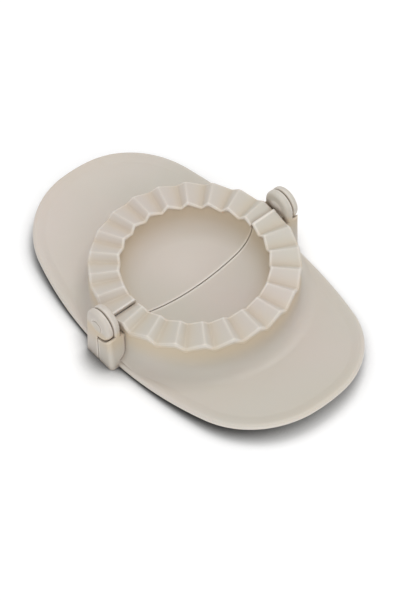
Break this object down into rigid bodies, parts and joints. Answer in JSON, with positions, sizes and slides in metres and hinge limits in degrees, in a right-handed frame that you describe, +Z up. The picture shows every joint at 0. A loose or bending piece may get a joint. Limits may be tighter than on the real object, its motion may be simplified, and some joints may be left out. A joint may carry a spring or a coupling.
{
  "type": "empanada press",
  "caption": "Hinged two-half press for filled dough pockets, with wide wing plates, a round bowl and a zigzag crimping ring.",
  "frame": {"origin": "on the table under the middle of the open press, on the hinge line", "axes": "+X along the open press towards the half that folds over, +Y along the hinge line, +Z up out of the bowl"},
  "size_m": [0.1884, 0.1202, 0.0335],
  "materials": {
    "moulding": "fine satin, pale warm grey-beige",
    "pin": "smooth, pale warm grey-beige"
  },
  "bodies": {
    "left_press": {"left_half": "moulding", "near_hinge_pin": "pin", "far_hinge_pin": "pin"},
    "right_press": {"right_half": "moulding"}
  },
  "joints": [
    {"name": "fold", "type": "hinge", "parent": "left_press", "child": "right_press", "pos_m": [0, 0, 0.0252], "axis": [0, -1, 0], "range_deg": [0, 180]}
  ]
}
